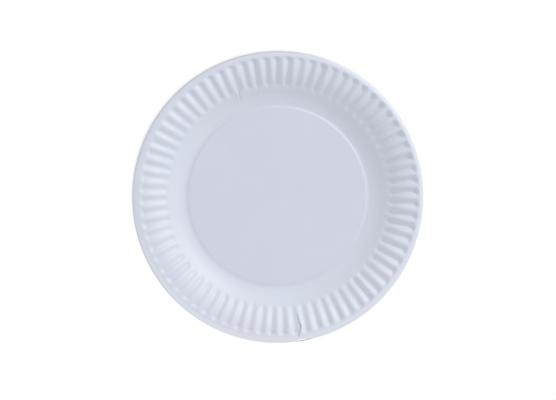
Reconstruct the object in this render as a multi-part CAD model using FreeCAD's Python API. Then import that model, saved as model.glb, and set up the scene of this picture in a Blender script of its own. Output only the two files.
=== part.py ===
import FreeCAD, Part
import math
import os

# Overall size and board, in millimetres; slopes and azimuths below are in degrees
plateDiameter = 230.0
boardThickness = 0.4

# Flat middle, raised a little above the narrow ring that the plate stands on
panelRise = 0.4
panelStepWidth = 1.6
standRingWidth = 1.0

# Smooth side, curved at its foot and straight above
wallWidth = 14.5
wallStraightWidth = 4.6
wallFootSlope = 12.0
wallSlope = 34.0

# Radial flutes pressed into the side and the rim
fluteCount = 72
firstRidgeAzimuth = -0.95
fluteDepth = 1.75
fluteValleyShare = 0.45
fluteInnerEndWidth = 3.0
fluteLength = 17.8
fluteOuterEndWidth = 3.2

# Crest that the flutes run up to, and the lip that is turned down outside it
crestStraightWidth = 4.9
crestLandWidth = 0.4
lipWidth = 3.5
lipSlope = 40.0

# Tear that runs in from the rim, bending once on its way
tearMouthAzimuth = 277.7
tearBendAzimuth = 280.4
tearTipAzimuth = 279.0
tearBendInset = 9.6
tearLength = 21.4
tearMouthWidth = 0.4
tearBendWidth = 1.2

# Strip of the lip that is torn off beside the tear's mouth
lostStripDepth = 1.2
lostStripEndAzimuth = 282.5

# Facets that stand for the curved stretches
halfFluteFacetCount = 3
wallRowCount = 2
fluteRowCount = 2
lipRowCount = 3

# Radii worked inwards from the rim
rimRadius = plateDiameter / 2
lipStartRadius = rimRadius - lipWidth
crestRadius = lipStartRadius - crestLandWidth
fluteEndRadius = crestRadius - fluteOuterEndWidth
fluteStartRadius = fluteEndRadius - fluteLength
wallEndRadius = fluteStartRadius - fluteInnerEndWidth
wallStartRadius = wallEndRadius - wallWidth
standInnerRadius = wallStartRadius - standRingWidth
panelRadius = standInnerRadius - panelStepWidth
wallCurveEndRadius = wallEndRadius - wallStraightWidth
crestCurveStartRadius = wallEndRadius + crestStraightWidth

# Half a flute is also the width of one facet of the wall
halfPitch = math.pi / fluteCount
firstRidgeAngle = math.radians(firstRidgeAzimuth)
axis = FreeCAD.Vector(0, 0, 1)
origin = FreeCAD.Vector(0, 0, 0)


def sine(slope):
    return math.sin(math.radians(slope))


def arcRise(run, startSlope, endSlope, share=1.0):
    """Rise over the first share of an arc that spans a run and turns from one slope to another."""
    arcRadius = run / (sine(endSlope) - sine(startSlope))
    endSine = sine(startSlope) + share * run / arcRadius
    return arcRadius * (math.cos(math.radians(startSlope)) - math.sqrt(1 - endSine ** 2))


# Heights above the top of the standing ring
wallCurveEndHeight = arcRise(wallCurveEndRadius - wallStartRadius, wallFootSlope, wallSlope)
straightRise = (crestCurveStartRadius - wallCurveEndRadius) * math.tan(math.radians(wallSlope))
crestCurveStartHeight = wallCurveEndHeight + straightRise
crestHeight = crestCurveStartHeight + arcRise(crestRadius - crestCurveStartRadius, wallSlope, 0)


def ridgeHeight(radius):
    """Height of the smooth side, and outside it of the ridges between the flutes."""
    if radius <= wallCurveEndRadius:
        run = wallCurveEndRadius - wallStartRadius
        return arcRise(run, wallFootSlope, wallSlope, (radius - wallStartRadius) / run)
    if radius <= crestCurveStartRadius:
        return wallCurveEndHeight + (radius - wallCurveEndRadius) * math.tan(math.radians(wallSlope))
    run = crestRadius - crestCurveStartRadius
    return crestCurveStartHeight + arcRise(run, wallSlope, 0, (radius - crestCurveStartRadius) / run)


def lipHeight(radius):
    share = (radius - lipStartRadius) / lipWidth
    return crestHeight + arcRise(lipWidth, 0, -lipSlope, share)


def steps(start, end, count):
    return [start + (end - start) * i / count for i in range(count + 1)]


def polar(radius, angle, height):
    return FreeCAD.Vector(radius * math.cos(angle), radius * math.sin(angle), height)


def flatFacet(*corners):
    return Part.Face(Part.makePolygon(list(corners) + [corners[0]]))


def turnedFace(innerRadius, innerHeight, outerRadius, outerHeight):
    """Face swept round the plate's axis by a straight line of its section."""
    inner = FreeCAD.Vector(innerRadius, 0, innerHeight)
    outer = FreeCAD.Vector(outerRadius, 0, outerHeight)
    return Part.makeLine(inner, outer).revolve(origin, axis, 360)


def circleWire(radius, height):
    return Part.Wire(Part.makeCircle(radius, FreeCAD.Vector(0, 0, height)))


def cornerRing(radius, height):
    """Polygon with one corner on each ridge and one on each valley."""
    corners = [polar(radius, firstRidgeAngle + i * halfPitch, height) for i in range(2 * fluteCount)]
    return Part.makePolygon(corners + corners[:1])


def flatRing(outerWire, innerWire):
    return Part.makeFace([outerWire, innerWire], "Part::FaceMakerBullseye").Faces[0]


def panelFaces():
    """Flat middle, the step down from it, and the flat ring that the plate stands on."""
    middle = Part.Face(circleWire(panelRadius, panelRise))
    step = turnedFace(panelRadius, panelRise, standInnerRadius, 0)
    ring = flatRing(cornerRing(wallStartRadius, 0), circleWire(standInnerRadius, 0))
    return [middle, step, ring]


def wallFaces():
    """Smooth side, as rows of narrow flat facets that line up with the flutes above."""
    radii = steps(wallStartRadius, wallCurveEndRadius, wallRowCount) + [wallEndRadius]
    faces = []
    for inner, outer in zip(radii, radii[1:]):
        low = ridgeHeight(inner)
        high = ridgeHeight(outer)
        for i in range(2 * fluteCount):
            start = firstRidgeAngle + i * halfPitch
            end = start + halfPitch
            faces.append(flatFacet(polar(inner, start, low), polar(inner, end, low),
                                   polar(outer, end, high), polar(outer, start, high)))
    return faces


def waveStations():
    """From the middle of a valley to a ridge: share of the half pitch, and share of the depth."""
    stations = []
    for phase in steps(0.0, 1.0, halfFluteFacetCount):
        if phase <= 0.5:
            across = 2 * phase * fluteValleyShare
        else:
            across = fluteValleyShare + (2 * phase - 1) * (1 - fluteValleyShare)
        stations.append((across, (1 + math.cos(math.pi * phase)) / 2))
    return stations


def fluteSection(radius, valleyAngle, side):
    """Points across half a flute; its depth grows with the radius, as its width does."""
    depth = fluteDepth * radius / fluteEndRadius
    return [polar(radius, valleyAngle + side * halfPitch * across, ridgeHeight(radius) - depth * sunk)
            for across, sunk in waveStations()]


def fluteEndFaces(section, radius, valleyAngle, side):
    """Rounded end of half a flute: two fans of facets, from the valley's and the ridge's corner."""
    height = ridgeHeight(radius)
    valleyCorner = polar(radius, valleyAngle, height)
    ridgeCorner = polar(radius, valleyAngle + side * halfPitch, height)
    turning = (len(section) + 1) // 2
    faces = [flatFacet(valleyCorner, section[turning], ridgeCorner)]
    for i in range(len(section) - 1):
        corner = valleyCorner if i < turning else ridgeCorner
        faces.append(flatFacet(corner, section[i], section[i + 1]))
    return faces


def halfFluteFaces(valleyAngle, side):
    sections = [fluteSection(radius, valleyAngle, side)
                for radius in steps(fluteStartRadius, fluteEndRadius, fluteRowCount)]
    faces = fluteEndFaces(sections[0], wallEndRadius, valleyAngle, side)
    for inner, outer in zip(sections, sections[1:]):
        for i in range(len(inner) - 1):
            faces.append(flatFacet(inner[i], inner[i + 1], outer[i + 1], outer[i]))
    return faces + fluteEndFaces(sections[-1], crestRadius, valleyAngle, side)


def fluteFaces():
    faces = []
    for i in range(fluteCount):
        valleyAngle = firstRidgeAngle + (2 * i + 1) * halfPitch
        faces += halfFluteFaces(valleyAngle, 1) + halfFluteFaces(valleyAngle, -1)
    return faces


def lipFaces():
    """Flat land round the crest, and the lip turned down outside it."""
    land = flatRing(circleWire(lipStartRadius, crestHeight), cornerRing(crestRadius, crestHeight))
    radii = steps(lipStartRadius, rimRadius, lipRowCount)
    rows = [turnedFace(inner, lipHeight(inner), outer, lipHeight(outer))
            for inner, outer in zip(radii, radii[1:])]
    return [land] + rows


def pressedBoard():
    """Closed board: its upper faces, the same faces one thickness lower, and the rim's cut edge.

    The dies close straight down, so the board keeps one thickness measured straight down.
    """
    upper = panelFaces() + wallFaces() + fluteFaces() + lipFaces()
    down = FreeCAD.Vector(0, 0, -boardThickness)
    lower = [face.translated(down) for face in upper]
    rimHeight = lipHeight(rimRadius)
    cutEdge = turnedFace(rimRadius, rimHeight - boardThickness, rimRadius, rimHeight)
    shell = Part.makeShell(upper + lower + [cutEdge])
    shell.sewShape()
    return Part.Solid(shell)


def uprightPrism(outline):
    """Prism through the whole height of the plate over an outline of radius and azimuth pairs."""
    corners = [polar(radius, math.radians(azimuth), -2 * boardThickness) for radius, azimuth in outline]
    height = crestHeight + 4 * boardThickness
    return flatFacet(*corners).extrude(axis * height)


def tearPrism():
    """Slender gap, narrow at the rim, widest at its bend and closed at its tip."""
    outside = rimRadius + lipWidth
    bendRadius = rimRadius - tearBendInset
    mouthHalf = math.degrees(tearMouthWidth / 2 / rimRadius)
    bendHalf = math.degrees(tearBendWidth / 2 / bendRadius)
    return uprightPrism([
        (outside, tearMouthAzimuth - mouthHalf),
        (bendRadius, tearBendAzimuth - bendHalf),
        (rimRadius - tearLength, tearTipAzimuth),
        (bendRadius, tearBendAzimuth + bendHalf),
        (outside, tearMouthAzimuth + mouthHalf),
    ])


def lostStripPrism():
    """Sliver of the lip beside the tear, deepest at the tear and run out along the rim."""
    outside = rimRadius + lipWidth
    return uprightPrism([
        (rimRadius - lostStripDepth, tearMouthAzimuth),
        (outside, tearMouthAzimuth),
        (outside, lostStripEndAzimuth),
        (rimRadius, lostStripEndAzimuth),
    ])


def tornPlate():
    """The pressed board with its tear, standing with its lowest ring on the floor."""
    torn = pressedBoard().cut([tearPrism(), lostStripPrism()])
    return torn.Solids[0].translated(axis * boardThickness)


plate = tornPlate()
os.makedirs("parts", exist_ok=True)
plate.exportStep("parts/plate.step")
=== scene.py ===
import math
import random

import bmesh
import bpy
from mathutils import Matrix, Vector


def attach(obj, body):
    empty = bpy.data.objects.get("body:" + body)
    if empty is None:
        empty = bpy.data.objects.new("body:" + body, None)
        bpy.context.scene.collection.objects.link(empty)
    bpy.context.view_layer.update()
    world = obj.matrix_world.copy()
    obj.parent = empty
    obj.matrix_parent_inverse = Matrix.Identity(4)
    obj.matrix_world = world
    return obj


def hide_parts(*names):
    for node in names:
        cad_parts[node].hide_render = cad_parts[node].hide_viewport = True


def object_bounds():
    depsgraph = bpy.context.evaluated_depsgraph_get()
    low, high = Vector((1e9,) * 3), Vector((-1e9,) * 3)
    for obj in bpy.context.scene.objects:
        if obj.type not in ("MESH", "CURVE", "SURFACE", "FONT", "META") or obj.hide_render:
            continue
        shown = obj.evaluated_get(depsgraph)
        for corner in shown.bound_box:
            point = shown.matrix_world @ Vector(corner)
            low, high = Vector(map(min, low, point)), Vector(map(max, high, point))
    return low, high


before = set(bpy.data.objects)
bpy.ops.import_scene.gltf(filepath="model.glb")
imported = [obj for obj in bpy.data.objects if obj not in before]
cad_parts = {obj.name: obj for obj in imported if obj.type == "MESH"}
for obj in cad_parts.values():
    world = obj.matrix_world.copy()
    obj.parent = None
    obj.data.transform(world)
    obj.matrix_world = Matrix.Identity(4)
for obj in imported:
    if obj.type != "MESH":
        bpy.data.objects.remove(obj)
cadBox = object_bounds()
mm = 0.001
print("frame loaded, CAD box", [tuple(round(c, 4) for c in corner) for corner in cadBox])


# small helpers for working by hand in edit mode

def deselectEverything():
    bpy.ops.object.select_all(action="DESELECT")
    bpy.context.view_layer.objects.active = None


def activate(piece):
    deselectEverything()
    piece.select_set(True)
    bpy.context.view_layer.objects.active = piece


def editMode(piece, selectMode="VERT"):
    activate(piece)
    bpy.ops.object.mode_set(mode="EDIT")
    bpy.ops.mesh.select_mode(type=selectMode)
    bpy.ops.mesh.select_all(action="DESELECT")


def objectMode():
    bpy.ops.object.mode_set(mode="OBJECT")


def selectVertices(piece, indices):
    bpy.ops.mesh.select_all(action="DESELECT")
    mesh = bmesh.from_edit_mesh(piece.data)
    mesh.verts.ensure_lookup_table()
    for index in indices:
        mesh.verts[index].select = True
    mesh.select_flush_mode()
    bmesh.update_edit_mesh(piece.data)


def firstPoint(name, place):
    # a new piece of one point, selected in edit mode: the first corner of a small plane, moved to its place
    bpy.ops.mesh.primitive_plane_add(size=mm, location=(0, 0, 0))
    piece = bpy.context.object
    piece.name = name
    editMode(piece)
    selectVertices(piece, [1, 2, 3])
    bpy.ops.mesh.delete(type="VERT")
    bpy.ops.mesh.select_all(action="SELECT")
    points = bmesh.from_edit_mesh(piece.data).verts
    points.ensure_lookup_table()
    bpy.ops.transform.translate(value=Vector(place) * mm - points[0].co)
    return piece


def drawLine(places):
    # the selected point stands at the first place and is extruded to each of the others in turn
    for last, place in zip(places, places[1:]):
        step = [(end - start) * mm for start, end in zip(last, place)]
        bpy.ops.mesh.extrude_vertices_move(TRANSFORM_OT_translate={"value": step})


def applyModifier(piece, kind, **settings):
    activate(piece)
    modifier = piece.modifiers.new(kind.lower(), kind)
    for name, value in settings.items():
        setattr(modifier, name, value)
    bpy.ops.object.modifier_apply(modifier=modifier.name)


def smooth(value):
    value = min(max(value, 0.0), 1.0)
    return value * value * (3 - 2 * value)


def eased(value, low, high):
    return smooth((value - low) / (high - low))  # 0 at low, 1 at high


def bell(distance, width):
    return math.exp(-(distance / width) ** 2)


def onPlate(radius, azimuth):
    return radius * math.cos(math.radians(azimuth)), radius * math.sin(math.radians(azimuth))


def turnBetween(azimuth, centre):
    return (azimuth - centre + 180) % 360 - 180  # signed degrees from centre


# plate: section through the pressed board, in millimetres and degrees

plate = {
    "boardThickness": 0.4,
    "lipWidth": 3.5, "lipSlope": 40.0, "crestLandWidth": 0.4,
    "fluteRingWidth": 24.0, "crestStraightWidth": 4.9,
    "wallWidth": 14.5, "wallStraightWidth": 4.6, "footSlope": 12.0, "wallSlope": 34.0,
    "standRingWidth": 1.0, "stepWidth": 1.6, "panelRise": 0.5,
    "fluteCount": 72, "columnsPerFlute": 12, "ridgeAzimuth": -0.95,
    "fluteDepth": 2.0, "depthGrowth": 1.5,  # depth grows with the radius to this power
    "valleyShare": 0.98,
    "innerEndOverrun": 1.5, "innerEndLength": 5.2, "innerEndRounding": 1.8,
    "outerEndInset": 3.3, "outerEndLength": 3.2, "outerEndRounding": 0.9,
    "leastSink": 0.001, "mergeWithin": 0.01, "sharpFrom": 45.0,
}

# radii, worked inwards from the rim of the CAD's box
rimRadius = round(cadBox[1][0] / mm, 2)
lipStart = rimRadius - plate["lipWidth"]
crestRadius = lipStart - plate["crestLandWidth"]
wallEnd = crestRadius - plate["fluteRingWidth"]
standOuterRadius = wallEnd - plate["wallWidth"]
standInnerRadius = standOuterRadius - plate["standRingWidth"]
panelRadius = standInnerRadius - plate["stepWidth"]
crestCurveStart = wallEnd + plate["crestStraightWidth"]
wallCurveEnd = wallEnd - plate["wallStraightWidth"]
fluteStart = wallEnd - plate["innerEndOverrun"]
fluteEnd = crestRadius - plate["outerEndInset"]
pitch = 360 / plate["fluteCount"]

ringZones = [  # rings of the section: how far out a zone of them ends, and how many it has
    (panelRadius - 16, 3), (panelRadius - 1, 3), (panelRadius, 2),
    (standInnerRadius, 4), (standOuterRadius, 1),
    (fluteStart - 0.6, 8), (fluteStart + 5.4, 10), (fluteEnd - 1, 7),
    (crestRadius, 10), (rimRadius, 9),
]


def arcRise(run, startSlope, endSlope, share=1.0):
    startSine = math.sin(math.radians(startSlope))
    arcRadius = run / (math.sin(math.radians(endSlope)) - startSine)
    endSine = startSine + share * run / arcRadius
    return arcRadius * (math.cos(math.radians(startSlope)) - math.sqrt(1 - endSine ** 2))


def sideHeight(radius):
    # smooth side of the dish and the crest line of the flutes, above the standing ring
    curveRun = wallCurveEnd - standOuterRadius
    if radius <= wallCurveEnd:
        share = (radius - standOuterRadius) / curveRun
        return arcRise(curveRun, plate["footSlope"], plate["wallSlope"], share)
    height = arcRise(curveRun, plate["footSlope"], plate["wallSlope"])
    slope = math.tan(math.radians(plate["wallSlope"]))
    if radius <= crestCurveStart:
        return height + (radius - wallCurveEnd) * slope
    height += (crestCurveStart - wallCurveEnd) * slope
    crestRun = crestRadius - crestCurveStart
    share = min((radius - crestCurveStart) / crestRun, 1)
    return height + arcRise(crestRun, plate["wallSlope"], 0, share)


def sectionHeight(radius):
    # top face of the board at any radius, above the floor
    floorGap = plate["boardThickness"]
    if radius <= panelRadius:
        return floorGap + plate["panelRise"]
    if radius <= standInnerRadius:
        return floorGap + plate["panelRise"] * (1 - eased(radius, panelRadius, standInnerRadius))
    if radius <= standOuterRadius:
        return floorGap
    height = floorGap + sideHeight(radius)
    if radius > lipStart:
        share = (radius - lipStart) / plate["lipWidth"]
        height += arcRise(plate["lipWidth"], 0, -plate["lipSlope"], share)
    return height


def fluteSink(radius, across):
    # how far a flute is pressed down; across is 0 on the valley's middle and 1 on a ridge
    wave = 1 - smooth(across / plate["valleyShare"])
    start = fluteStart + plate["innerEndRounding"] * across ** 2
    end = fluteEnd - plate["outerEndRounding"] * across ** 2
    opened = smooth((radius - start) / plate["innerEndLength"])
    closed = 1 - smooth((radius - end) / plate["outerEndLength"])
    depth = plate["fluteDepth"] * (radius / fluteEnd) ** plate["depthGrowth"]
    return depth * wave * opened * closed


ringRadii = [0.0]
for zoneEnd, zoneRings in ringZones:
    zoneStart = ringRadii[-1]
    ringRadii += [zoneStart + (zoneEnd - zoneStart) * (i + 1) / zoneRings for i in range(zoneRings)]


def oneFluteWedge():
    # one point is drawn out along the section, then the section is spun over one flute
    section = [(*onPlate(radius, plate["ridgeAzimuth"]), sectionHeight(radius)) for radius in ringRadii]
    wedge = firstPoint("pressedPlate", section[0])
    drawLine(section)
    bpy.ops.mesh.select_all(action="SELECT")
    bpy.ops.mesh.spin(steps=plate["columnsPerFlute"], angle=math.radians(pitch),
                      center=(0, 0, 0), axis=(0, 0, 1))
    bpy.ops.mesh.select_all(action="SELECT")
    bpy.ops.mesh.remove_doubles(threshold=plate["mergeWithin"] * mm)
    pressFlute(wedge)
    return wedge


def pressFlute(wedge):
    # the valley is pushed down one matching pair of points at a time
    groups = {}
    for vertex in bmesh.from_edit_mesh(wedge.data).verts:
        radius = math.hypot(vertex.co.x, vertex.co.y) / mm
        if radius < fluteStart:
            continue
        azimuth = math.degrees(math.atan2(vertex.co.y, vertex.co.x)) - plate["ridgeAzimuth"]
        across = abs(azimuth % pitch - pitch / 2) / (pitch / 2)
        sink = fluteSink(radius, min(across, 1.0))
        if sink > plate["leastSink"]:
            groups.setdefault((round(radius, 3), round(across, 3)), (sink, []))[1].append(vertex.index)
    for sink, indices in groups.values():
        selectVertices(wedge, indices)
        bpy.ops.transform.translate(value=(0, 0, -sink * mm))


def wholeSheet(wedge):
    # the finished flute is copied all round and the copies are joined edge to edge
    copies = plate["fluteCount"] - 1
    bpy.ops.mesh.select_all(action="SELECT")
    bpy.ops.mesh.spin(steps=copies, dupli=True, angle=math.radians(pitch * copies),
                      center=(0, 0, 0), axis=(0, 0, 1))
    bpy.ops.mesh.select_all(action="SELECT")
    bpy.ops.mesh.remove_doubles(threshold=plate["mergeWithin"] * mm)
    bpy.ops.mesh.normals_make_consistent(inside=False)
    objectMode()
    if wedge.data.polygons[0].normal.z < 0:
        editMode(wedge)
        bpy.ops.mesh.select_all(action="SELECT")
        bpy.ops.mesh.flip_normals()
        objectMode()
    return wedge


# pressing: how this plate's flutes and lip depart from an even ring

pressing = {
    "ringShift": (1.66, 0.95),  # of the flutes, across the plate
    "shiftFrom": 78.0, "shiftFull": 90.0, "shiftHold": 108.0,
    "innerRadialShare": 0.3, "outerRadialShare": 0.75, "radialFrom": 94.0, "radialFull": 108.0,
    "swing": 0.42, "swingAzimuth": 30.0,  # degrees that the pitch drifts, twice round
    "fluteScatter": 0.16, "depthScatter": 0.10,
    "deeperAzimuth": 15.0, "deeperShare": 0.24,
    "flatLipAzimuth": 232.0, "flatLipSpan": 66.0, "flatLipShare": 1.12,
    "rimOval": 0.0055, "ovalFull": 110.0,
    "panelLean": 0.34, "panelLeanAzimuth": 60.0,
    "seed": 21,
}


# wear: what handling did to this plate, as places (radius mm, azimuth degrees) and sizes

wear = {
    "tear": [  # radius, azimuth, half width
        (118.0, 277.15, 0.08), (114.6, 277.50, 0.12), (110.8, 278.42, 0.34), (107.0, 279.38, 0.44),
        (104.6, 279.92, 0.50), (102.4, 280.00, 0.46), (98.6, 279.62, 0.34), (92.9, 279.26, 0.05),
    ],
    "tearRoughness": 0.25, "tearSteps": (0.0, 0.34, 0.67),  # share of the half width, points between stops
    "creases": [  # start place, end place, width, groove depth, height of the raised side
        ((88.6, 110.6), (81.6, 111.2), 1.05, 0.85, 0.60),
        ((90.0, 108.4), (97.2, 107.5), 0.90, 0.55, 0.35),
        ((86.8, 100.4), (81.1, 102.3), 0.75, 0.34, 0.16),
        ((110.0, 338.0), (112.2, 337.2), 0.8, -0.20, 0.0),
        ((108.6, 335.4), (111.6, 335.5), 0.8, -0.25, 0.0),
        ((109.0, 333.0), (111.4, 332.6), 0.8, -0.20, 0.0),
    ],
    "creaseOverrun": 0.25, "creaseFade": 0.35, "grooveShare": 0.8,
    "flapRise": 0.30, "flapSink": 0.55, "flapWidth": 1.9, "flapReach": 6.0,
    "lostStrip": [(113.7, 277.6), (113.6, 279.2), (113.7, 280.6), (114.0, 281.8), (114.4, 282.8)],
    "shredRadius": 114.56,
    "cutterMargin": 2.0, "cutterHeight": 24.0,
    "seed": 8,
}


def creaseHeight(radius, azimuth):
    # folds: a pressed groove with a raised side, along a straight line between two places
    x, y = onPlate(radius, azimuth)
    height = 0.0
    for start, end, width, depth, ridge in wear["creases"]:
        startX, startY = onPlate(*start)
        endX, endY = onPlate(*end)
        lineX, lineY = endX - startX, endY - startY
        length = math.hypot(lineX, lineY)
        along = ((x - startX) * lineX + (y - startY) * lineY) / length ** 2
        aside = ((x - startX) * lineY - (y - startY) * lineX) / length
        fromStart = (along + wear["creaseOverrun"]) / wear["creaseFade"]
        toEnd = (1 + wear["creaseOverrun"] - along) / wear["creaseFade"]
        profile = ridge * bell(aside - width, width) - depth * bell(aside, width * wear["grooveShare"])
        height += smooth(fromStart) * smooth(toEnd) * profile
    return height


def flapHeight(radius, azimuth):
    # the torn edge curls up on the side of greater azimuth and sinks a little on the other
    stops = wear["tear"]
    centre = stops[-1][1]
    for (outer, outerAzimuth, _), (inner, innerAzimuth, _) in zip(stops, stops[1:]):
        if inner <= radius <= outer:
            centre = innerAzimuth + (outerAzimuth - innerAzimuth) * (radius - inner) / (outer - inner)
    aside = math.radians(turnBetween(azimuth, centre)) * radius
    reach = smooth((radius - stops[-1][0]) / wear["flapReach"])
    if aside > 0:
        return wear["flapRise"] * reach * bell(aside, wear["flapWidth"])
    return -wear["flapSink"] * reach * bell(aside, wear["flapWidth"])


def settleRing(sheet):
    # the flutes sit a little off the rim's centre, their pitch drifts and the lip is flattened on one side
    draw = random.Random(pressing["seed"])
    turns = [draw.gauss(0, pressing["fluteScatter"]) for _ in range(plate["fluteCount"])]
    depths = [1 + draw.gauss(0, pressing["depthScatter"]) for _ in range(plate["fluteCount"])]
    crestHeight = sectionHeight(crestRadius)
    for vertex in sheet.data.vertices:
        radius = math.hypot(vertex.co.x, vertex.co.y) / mm
        azimuth = math.degrees(math.atan2(vertex.co.y, vertex.co.x)) % 360
        height = vertex.co.z / mm
        if radius < standOuterRadius:
            onPanel = max(height - plate["boardThickness"], 0) / plate["panelRise"]
            lean = pressing["panelLean"] * math.cos(math.radians(azimuth - pressing["panelLeanAzimuth"]))
            vertex.co.z += onPanel * lean * radius / panelRadius * mm
        if radius < pressing["shiftFrom"]:
            continue
        share = eased(radius, pressing["shiftFrom"], pressing["shiftFull"])
        share *= 1 - eased(radius, pressing["shiftHold"], rimRadius)
        place = (azimuth - plate["ridgeAzimuth"]) % 360 / pitch
        flute = int(place) % plate["fluteCount"]
        inValley = 1 - abs(place % 1 - 0.5) * 2
        crestLine = sectionHeight(radius)
        deeper = 1 + pressing["deeperShare"] * math.cos(math.radians(azimuth - pressing["deeperAzimuth"]))
        height = crestLine + (height - crestLine) * depths[flute] * deeper
        if radius > crestRadius:
            aside = turnBetween(azimuth, pressing["flatLipAzimuth"])
            flat = pressing["flatLipShare"] * bell(aside, pressing["flatLipSpan"])
            height = crestHeight + (height - crestHeight) * (1 - flat)
        swing = pressing["swing"] * math.cos(2 * math.radians(azimuth - pressing["swingAzimuth"]))
        shiftX, shiftY = pressing["ringShift"]
        outX, outY = onPlate(1, azimuth)
        sideways = math.degrees((shiftY * outX - shiftX * outY) / radius)
        farOut = eased(radius, pressing["radialFrom"], pressing["radialFull"])
        radialShare = pressing["innerRadialShare"] * (1 - farOut) + pressing["outerRadialShare"] * farOut
        radius += share * radialShare * (shiftX * outX + shiftY * outY)
        azimuth += share * (sideways + swing + turns[flute] * smooth(inValley))
        height += creaseHeight(radius, azimuth) + flapHeight(radius, azimuth)
        height = min(height, crestHeight)
        x, y = onPlate(radius, azimuth)
        x *= 1 - pressing["rimOval"] * eased(radius, pressing["shiftFull"], pressing["ovalFull"])
        vertex.co = (x * mm, y * mm, height * mm)


def cutter(name, outline):
    # upright slab over an outline of (x, y) millimetres, through the whole height of the plate and past it
    places = [(x, y, -wear["cutterMargin"]) for x, y in outline]
    slab = firstPoint(name, places[0])
    drawLine(places)
    bpy.ops.mesh.select_all(action="SELECT")
    bpy.ops.mesh.edge_face_add()  # joins the line's ends and fills it
    bpy.ops.mesh.select_all(action="SELECT")
    bpy.ops.mesh.extrude_region_move(TRANSFORM_OT_translate={"value": (0, 0, wear["cutterHeight"] * mm)})
    bpy.ops.mesh.select_all(action="SELECT")
    bpy.ops.mesh.normals_make_consistent(inside=False)
    objectMode()
    return slab


def tearOutline():
    draw = random.Random(wear["seed"])
    rough = wear["tearRoughness"]
    leftSide = []
    rightSide = []
    stops = wear["tear"]
    for outer, inner in zip(stops, stops[1:]):
        for share in wear["tearSteps"]:
            radius, azimuth, half = [start + (end - start) * share for start, end in zip(outer, inner)]
            for edge, sign in ((leftSide, -1), (rightSide, 1)):
                reach = half * (1 + draw.uniform(-rough, rough))
                edge.append(onPlate(radius, azimuth + sign * math.degrees(reach / radius)))
    tip = onPlate(stops[-1][0], stops[-1][1])
    return leftSide + [tip] + rightSide[::-1]


def lostStripOutline():
    inner = [onPlate(radius, azimuth) for radius, azimuth in wear["lostStrip"]]
    outer = [onPlate(wear["shredRadius"], azimuth) for _, azimuth in wear["lostStrip"]]
    return inner + outer[::-1]


def cutOut(piece, slab):
    applyModifier(piece, "BOOLEAN", operation="DIFFERENCE", object=slab, solver="EXACT")
    bpy.data.objects.remove(slab)


def buildPlate():
    sheet = wholeSheet(oneFluteWedge())
    settleRing(sheet)
    print("sheet pressed:", len(sheet.data.vertices), "points")
    applyModifier(sheet, "SOLIDIFY", thickness=plate["boardThickness"] * mm, offset=-1.0,
                  use_even_offset=True)
    print("board thickened:", len(sheet.data.polygons), "faces")
    cutOut(sheet, cutter("tearCutter", tearOutline()))
    cutOut(sheet, cutter("stripCutter", lostStripOutline()))
    activate(sheet)
    bpy.ops.object.shade_smooth_by_angle(angle=math.radians(plate["sharpFrom"]))
    print("tear cut:", len(sheet.data.polygons), "faces")
    return sheet


# shader maths written as expressions

class Wire:
    # one output socket of a node tree
    def __init__(self, tree, socket):
        self.tree = tree
        self.socket = socket

    def node(self, kind, settings=None, sockets=None, output=0):
        made = self.tree.nodes.new(kind)
        for name, value in (settings or {}).items():
            setattr(made, name, value)
        for name, value in (sockets or {}).items():
            if isinstance(value, Wire):
                self.tree.links.new(value.socket, made.inputs[name])
            elif value is not None:
                made.inputs[name].default_value = value
        return Wire(self.tree, made.outputs[output])

    def beside(self, name):
        # another output of the same node
        return Wire(self.tree, self.socket.node.outputs[name])

    def maths(self, operation, first, second=None):
        return self.node("ShaderNodeMath", {"operation": operation}, {0: first, 1: second})

    def __add__(self, other):
        return self.maths("ADD", self, other)

    def __radd__(self, other):
        return self.maths("ADD", other, self)

    def __sub__(self, other):
        return self.maths("SUBTRACT", self, other)

    def __rsub__(self, other):
        return self.maths("SUBTRACT", other, self)

    def __mul__(self, other):
        return self.maths("MULTIPLY", self, other)

    def __rmul__(self, other):
        return self.maths("MULTIPLY", other, self)

    def __truediv__(self, other):
        return self.maths("DIVIDE", self, other)

    def __rtruediv__(self, other):
        return self.maths("DIVIDE", other, self)

    def between(self, low, high):
        # 0 at low and 1 at high, eased
        return self.node("ShaderNodeMapRange", {"interpolation_type": "SMOOTHSTEP"},
                         {"Value": self, "From Min": low, "From Max": high})

    def blend(self, first, second):
        # colours, mixed by this value
        return self.node("ShaderNodeMix", {"data_type": "RGBA"}, {0: self, 6: first, 7: second}, output=2)

    def gain(self, share, colour, factors):
        # a colour multiplied, by this share, by one factor per channel
        return self.node("ShaderNodeMix", {"data_type": "RGBA", "blend_type": "MULTIPLY"},
                         {0: share, 6: colour, 7: factors}, output=2)


def newMaterial(name):
    # an empty node tree: the material, a first wire to add nodes from, and the output node
    made = bpy.data.materials.new(name)
    made.use_nodes = True
    made.node_tree.nodes.clear()
    output = made.node_tree.nodes.new("ShaderNodeOutputMaterial")
    return made, Wire(made.node_tree, None), output


# paperboard: white pulp board with a faint blue cast and a calendered, slightly soft sheen

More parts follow.
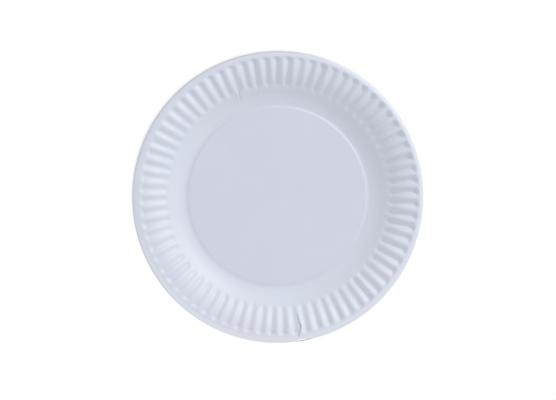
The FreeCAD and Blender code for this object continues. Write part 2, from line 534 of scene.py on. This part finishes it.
paper = {
    "colour": (0.684, 0.714, 0.834, 1), "coolTint": (0.692, 0.733, 0.852, 1),
    "warmTint": (0.685, 0.700, 0.812, 1),
    "cloudScale": 11.0, "cloudDetail": 2.0, "cloudShare": 0.8, "tintRange": (0.38, 0.62),
    "mottleScale": 55.0, "mottleDetail": 5.0, "mottleRoughness": 0.6,
    "fibreScale": 1900.0, "fibreDetail": 4.0, "fibreDistortion": 0.6,
    "fibreStretch": (0.28, 1.0, 1.0), "fibreTurn": 24.0, "fibreShare": 0.5, "boardRange": (0.30, 0.70),
    "roughness": 0.50, "roughnessSpread": 0.10, "sheen": 0.7, "ior": 1.5,
    "fibreRelief": 0.7, "mottleRelief": 0.6, "reliefStrength": 0.5, "reliefHeight": 0.03,
    # painted light and shade, placed on the plate in millimetres from its middle
    "paintedSideLightGain": (1.030, 1.036, 1.012, 1), "paintedSideLightRing": (71.5, 77.0),
    "paintedLipLightGain": (1.075, 1.085, 1.075, 1), "paintedLipLightRing": (109.5, 112.0), "paintedLipLightBelow": (5.0, 85.0),
    "paintedRimShadeColour": (0.60, 0.60, 0.67, 1), "paintedRimShadeRing": (113.1, 114.6),
    "paintedRimShadeAzimuth": 150.0, "paintedRimShadeReach": (-10.0, 60.0),
    "shredShadowColour": (0.13, 0.13, 0.17, 1), "shredShadowRing": (114.4, 114.6),
    "shredShadowAzimuth": 280.3, "shredShadowTurn": (0.9987, 0.9991),  # cosines of the angle from that azimuth
}


def paperMaterial():
    material, wire, output = newMaterial("whitePaperboard")
    place = wire.node("ShaderNodeTexCoord", output=3)  # object coordinates
    axes = wire.node("ShaderNodeSeparateXYZ", {}, {0: place})
    across = axes / mm
    along = axes.beside("Y") / mm
    radius = wire.maths("SQRT", across * across + along * along)

    def towards(azimuth):
        x, y = onPlate(1, azimuth)
        return across * x + along * y

    cloud = wire.node("ShaderNodeTexNoise", {}, {
        "Vector": place, "Scale": paper["cloudScale"], "Detail": paper["cloudDetail"]})
    mottle = wire.node("ShaderNodeTexNoise", {}, {
        "Vector": place, "Scale": paper["mottleScale"], "Detail": paper["mottleDetail"],
        "Roughness": paper["mottleRoughness"]})
    lengthways = wire.node("ShaderNodeMapping", {}, {
        "Vector": place, "Scale": paper["fibreStretch"],
        "Rotation": (0, 0, math.radians(paper["fibreTurn"]))})
    fibre = wire.node("ShaderNodeTexNoise", {}, {
        "Vector": lengthways, "Scale": paper["fibreScale"], "Detail": paper["fibreDetail"],
        "Distortion": paper["fibreDistortion"]})

    # white pulp with faint clouds, then painted light on the side and on the lip's lower half, painted
    # shade along the rim's edge towards azimuth 150 and a painted shadow on the torn shred
    clouds = cloud * paper["cloudShare"] + mottle * (1 - paper["cloudShare"])
    tint = clouds.between(*paper["tintRange"]).blend(paper["warmTint"], paper["coolTint"])
    grain = fibre * paper["fibreShare"] + mottle * (1 - paper["fibreShare"])
    colour = grain.between(*paper["boardRange"]).blend(paper["colour"], tint)
    # painted light: the dish's side and all outside it are made a few percent lighter in colour
    colour = wire.gain(radius.between(*paper["paintedSideLightRing"]), colour, paper["paintedSideLightGain"])
    # painted light: the lip on the plate's lower half is made lighter in colour
    paintedLipLight = radius.between(*paper["paintedLipLightRing"]) * (0 - along).between(*paper["paintedLipLightBelow"])
    colour = wire.gain(paintedLipLight, colour, paper["paintedLipLightGain"])
    # painted shade: a grey band along the rim's outer edge, only on the side towards azimuth 150
    paintedRimShade = towards(paper["paintedRimShadeAzimuth"]).between(*paper["paintedRimShadeReach"])
    colour = (radius.between(*paper["paintedRimShadeRing"]) * paintedRimShade).blend(colour, paper["paintedRimShadeColour"])
    # painted shadow: the thin shred left along the torn rim is coloured near black
    shredShadow = (towards(paper["shredShadowAzimuth"]) / radius).between(*paper["shredShadowTurn"])
    colour = (shredShadow * radius.between(*paper["shredShadowRing"])).blend(colour, paper["shredShadowColour"])

    spread = paper["roughnessSpread"]
    roughness = paper["roughness"] - spread / 2 + mottle * spread
    relief = wire.node("ShaderNodeBump", {}, {
        "Height": fibre * paper["fibreRelief"] + mottle * paper["mottleRelief"],
        "Strength": paper["reliefStrength"], "Distance": paper["reliefHeight"] * mm})
    shader = wire.node("ShaderNodeBsdfPrincipled", {}, {
        "Base Color": colour, "Roughness": roughness, "Normal": relief,
        "Specular IOR Level": paper["sheen"], "IOR": paper["ior"]})
    material.node_tree.links.new(shader.socket, output.inputs["Surface"])
    return material


# stage: white floor, soft studio light and the camera over the plate, in metres and degrees

stage = {
    "floorSize": 6.0, "floorDrop": 0.0002, "floorColour": (0.9, 0.9, 0.92, 1),
    "shadowShare": 0.07, "whiteStrength": 1.03,
    "dimShare": 0.07, "underPlate": 0.1125, "besidePlate": 0.1165,
    "worldStrength": 0.745,
    "keyAzimuth": 36.5, "keyElevation": 29.0, "keyDistance": 2.6, "keySize": (1.6, 0.32), "keyPower": 3.5,
    "cameraLens": 180.0, "sensorWidth": 36.0, "imageWidth": 556, "imageHeight": 400,
    "plateCentre": (278.05, 197.5), "rimPixels": 146.3,
    "tiltUp": 4.7, "tiltLeft": 1.9,
}


def makeFloor():
    bpy.ops.mesh.primitive_plane_add(size=stage["floorSize"], location=(0, 0, -stage["floorDrop"]))
    floor = bpy.context.object
    floor.name = "studioFloor"
    material, wire, output = newMaterial("whiteFloor")
    path = wire.node("ShaderNodeLightPath")
    seen = wire.maths("MAXIMUM", path.beside("Is Camera Ray"), path.beside("Is Glossy Ray"))
    seen = wire.maths("MAXIMUM", seen, path.beside("Is Transmission Ray"))
    plain = wire.node("ShaderNodeBsdfDiffuse", {}, {"Color": stage["floorColour"]})
    white = wire.node("ShaderNodeEmission", {}, {"Color": (1, 1, 1, 1), "Strength": stage["whiteStrength"]})
    place = wire.node("ShaderNodeTexCoord", output=3)  # object coordinates
    reach = wire.node("ShaderNodeVectorMath", {"operation": "LENGTH"}, {0: place}, output=1)
    beyond = reach.between(stage["underPlate"], stage["besidePlate"])  # 0 under the plate, 1 outside it
    share = seen * (beyond + (1 - beyond) * stage["dimShare"]) * (1 - stage["shadowShare"])
    mixed = wire.node("ShaderNodeMixShader", {}, {0: share, 1: plain, 2: white})
    material.node_tree.links.new(mixed.socket, output.inputs["Surface"])
    floor.data.materials.append(material)


def makeLights():
    world = bpy.data.worlds.new("studioWorld")
    world.use_nodes = True
    background = world.node_tree.nodes["Background"]
    background.inputs["Color"].default_value = (1, 1, 1, 1)
    background.inputs["Strength"].default_value = stage["worldStrength"]
    bpy.context.scene.world = world
    azimuth = math.radians(stage["keyAzimuth"])
    elevation = math.radians(stage["keyElevation"])
    level = math.cos(elevation)
    towards = Vector((math.cos(azimuth) * level, math.sin(azimuth) * level, math.sin(elevation)))
    bpy.ops.object.light_add(type="AREA", location=towards * stage["keyDistance"])
    key = bpy.context.object
    key.name = "keyLight"
    key.rotation_euler = towards.to_track_quat("Z", "Y").to_euler()
    key.data.shape = "RECTANGLE"
    key.data.size, key.data.size_y = stage["keySize"]
    key.data.energy = stage["keyPower"] * stage["keyDistance"] ** 2


def makeCamera():
    # a pixel is a fixed size at the rim's height; the plate's centre sits a little off the picture's middle
    pixel = rimRadius * mm / stage["rimPixels"]
    distance = pixel * stage["imageWidth"] * stage["cameraLens"] / stage["sensorWidth"]
    centreX, centreY = stage["plateCentre"]
    asideX = (stage["imageWidth"] / 2 - centreX) * pixel
    asideY = (centreY - stage["imageHeight"] / 2) * pixel
    target = Vector((asideX, asideY, sectionHeight(rimRadius) * mm))
    away = Vector((-math.tan(math.radians(stage["tiltLeft"])), math.tan(math.radians(stage["tiltUp"])), 1))
    away.normalize()
    turned = (-math.asin(away.y), math.atan2(away.x, away.z), 0)
    bpy.ops.object.camera_add(location=target + distance * away, rotation=turned)
    camera = bpy.context.object
    camera.name = "photoCamera"
    camera.data.lens = stage["cameraLens"]
    camera.data.sensor_width = stage["sensorWidth"]
    camera.data.sensor_fit = "HORIZONTAL"
    bpy.context.scene.camera = camera


deselectEverything()
pressedPlate = buildPlate()
pressedPlate.data.materials.clear()
pressedPlate.data.materials.append(paperMaterial())
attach(pressedPlate, "root")
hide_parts("plate")
print("plate finished")

makeFloor()
makeLights()
makeCamera()
bpy.context.scene.view_settings.view_transform = "Standard"
print("stage set")
